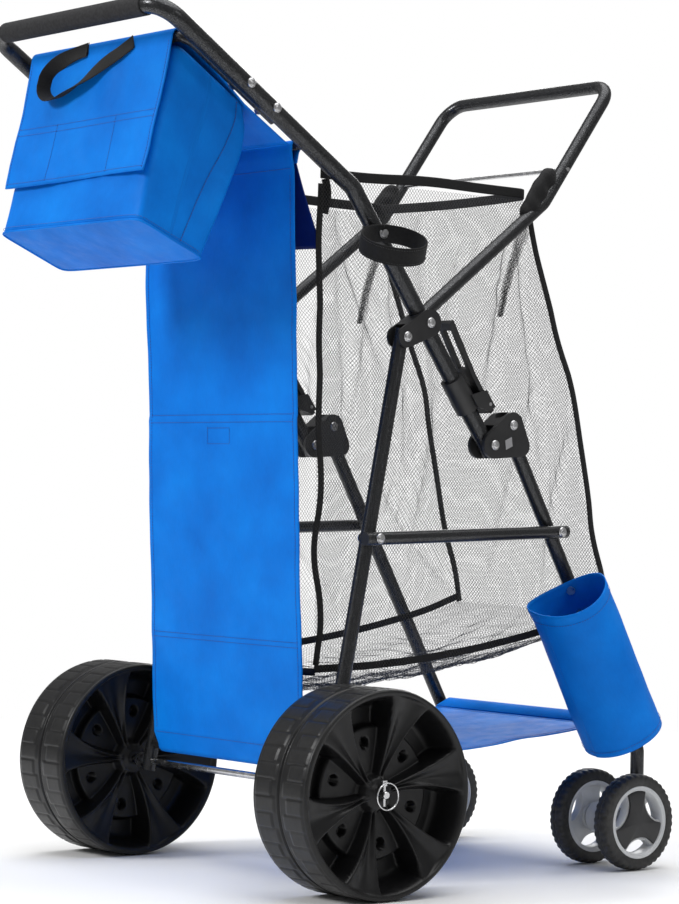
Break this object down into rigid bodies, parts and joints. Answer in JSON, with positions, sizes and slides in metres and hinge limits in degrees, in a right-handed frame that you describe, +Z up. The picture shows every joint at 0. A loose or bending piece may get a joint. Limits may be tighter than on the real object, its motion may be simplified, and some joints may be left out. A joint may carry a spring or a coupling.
{
  "type": "beach cart",
  "caption": "Folding beach cart with large rear wheels, twin front casters, a net bag between tube frames, a cloth back panel, a tote bag, a bottle holder and an umbrella loop.",
  "frame": {"origin": "on the floor, under the middle of the cart's bounding box", "axes": "+Z up, +Y the way the cart is pushed, +X to the pusher's right"},
  "size_m": [0.688, 0.891, 1.179],
  "materials": {
    "frame_paint": "speckled satin powder coat",
    "zinc": "zinc plated",
    "bright_steel": "polished",
    "black_plastic": "moulded satin",
    "grey_plastic": "moulded satin",
    "black_webbing": "woven",
    "blue_cloth": "coated oxford weave",
    "black_net": "open knitted net",
    "foam": "closed-cell foam",
    "caster_tyre": "moulded lugs"
  },
  "bodies": {
    "upper_frame": {"handle_tube": "frame_paint", "foam_grip": "foam", "tote_hanger": "frame_paint", "hanger_bolts": "zinc", "hanger_caps": "black_plastic", "panel_top_bar": "frame_paint", "brackets": "black_plastic", "frame_rivets": "zinc", "latch_sleeves": "black_plastic", "latch_pins": "zinc", "umbrella_strap": "black_webbing", "umbrella_screw": "zinc", "tote_body": "blue_cloth", "tote_flap": "blue_cloth", "tote_handle": "black_webbing", "panel_upper": "blue_cloth", "inner_flap": "blue_cloth", "net_sides": "black_net", "net_front_floor": "black_net", "net_rim": "black_webbing", "net_ties": "black_webbing"},
    "bail": {"bail_tube": "frame_paint", "cross_rod": "frame_paint", "bail_wraps": "black_webbing"},
    "rear_frame": {"rear_legs": "frame_paint", "bottom_bar": "frame_paint", "rear_axle": "bright_steel", "axle_spacers": "zinc", "linchpins": "bright_steel", "panel_lower": "blue_cloth"},
    "wheel_right_body": {"wheel_tread_right": "black_plastic", "wheel_core_right": "black_plastic"},
    "wheel_left_body": {"wheel_tread_left": "black_plastic", "wheel_core_left": "black_plastic"},
    "ring_right": {"linchpin_ring_right": "bright_steel"},
    "ring_left": {"linchpin_ring_left": "bright_steel"},
    "braces": {"brace_tubes": "frame_paint", "brace_plugs": "black_plastic", "brace_screws": "zinc"},
    "lower_frame": {"lower_legs": "frame_paint", "front_cross_bar": "frame_paint", "latch_bodies": "black_plastic", "latch_rivets": "zinc", "caster_stems": "zinc", "bottle_holder": "blue_cloth", "holder_base": "blue_cloth", "holder_screws": "zinc", "platform": "blue_cloth"},
    "lever_right": {"latch_lever_right": "black_plastic"},
    "lever_left": {"latch_lever_left": "black_plastic"},
    "caster_right": {"caster_fork_right": "grey_plastic"},
    "caster_wheels_right": {"caster_tyres_right": "caster_tyre", "caster_rims_right": "grey_plastic", "caster_covers_right": "black_plastic", "caster_axle_right": "bright_steel"},
    "caster_left": {"caster_fork_left": "grey_plastic"},
    "caster_wheels_left": {"caster_tyres_left": "caster_tyre", "caster_rims_left": "grey_plastic", "caster_covers_left": "black_plastic", "caster_axle_left": "bright_steel"}
  },
  "joints": [
    {"name": "bail_fold", "type": "hinge", "parent": "upper_frame", "child": "bail", "pos_m": [0, 0.0156, 0.771], "axis": [1, 0, 0], "range_deg": [0, 80]},
    {"name": "rear_fold", "type": "hinge", "parent": "upper_frame", "child": "rear_frame", "pos_m": [0, -0.0255, 0.75], "axis": [1, 0, 0], "range_deg": [-80, 0], "deforming": ["panel_lower"]},
    {"name": "lower_fold", "type": "hinge", "parent": "upper_frame", "child": "lower_frame", "pos_m": [0, 0.1345, 0.605], "axis": [1, 0, 0], "range_deg": [-122.4, 0], "deforming": ["platform", "bottle_holder", "holder_base"]},
    {"name": "brace_fold", "type": "hinge", "parent": "rear_frame", "child": "braces", "pos_m": [0, -0.07889, 0.474], "axis": [1, 0, 0], "range_deg": [0, 46.4]},
    {"name": "wheel_right_spin", "type": "hinge", "parent": "rear_frame", "child": "wheel_right_body", "pos_m": [0.287, -0.1435, 0.14], "axis": [1, 0, 0], "continuous": true},
    {"name": "ring_right_swing", "type": "hinge", "parent": "rear_frame", "child": "ring_right", "pos_m": [0.334, -0.1435, 0.1562], "axis": [1, 0, 0], "range_deg": [-100, 100]},
    {"name": "lever_right_pull", "type": "hinge", "parent": "upper_frame", "child": "lever_right", "pos_m": [0.205, 0.12495, 0.66212], "axis": [1, 0, 0], "range_deg": [-35, 0]},
    {"name": "caster_right_swivel", "type": "hinge", "parent": "lower_frame", "child": "caster_right", "pos_m": [0.216, 0.4265, 0.11], "axis": [0, 0, 1], "continuous": true},
    {"name": "caster_right_spin", "type": "hinge", "parent": "caster_right", "child": "caster_wheels_right", "pos_m": [0.216, 0.3765, 0.069], "axis": [1, 0, 0], "continuous": true},
    {"name": "wheel_left_spin", "type": "hinge", "parent": "rear_frame", "child": "wheel_left_body", "pos_m": [-0.287, -0.1435, 0.14], "axis": [1, 0, 0], "continuous": true},
    {"name": "ring_left_swing", "type": "hinge", "parent": "rear_frame", "child": "ring_left", "pos_m": [-0.334, -0.1435, 0.1562], "axis": [1, 0, 0], "range_deg": [-100, 100]},
    {"name": "lever_left_pull", "type": "hinge", "parent": "upper_frame", "child": "lever_left", "pos_m": [-0.205, 0.12495, 0.66212], "axis": [1, 0, 0], "range_deg": [-35, 0]},
    {"name": "caster_left_swivel", "type": "hinge", "parent": "lower_frame", "child": "caster_left", "pos_m": [-0.216, 0.4265, 0.11], "axis": [0, 0, 1], "continuous": true},
    {"name": "caster_left_spin", "type": "hinge", "parent": "caster_left", "child": "caster_wheels_left", "pos_m": [-0.216, 0.3765, 0.069], "axis": [1, 0, 0], "continuous": true}
  ],
  "couplings": [
    {"joint": "lower_fold", "follows": "rear_fold", "ratio": 1.53},
    {"joint": "brace_fold", "follows": "rear_fold", "ratio": -0.58}
  ]
}
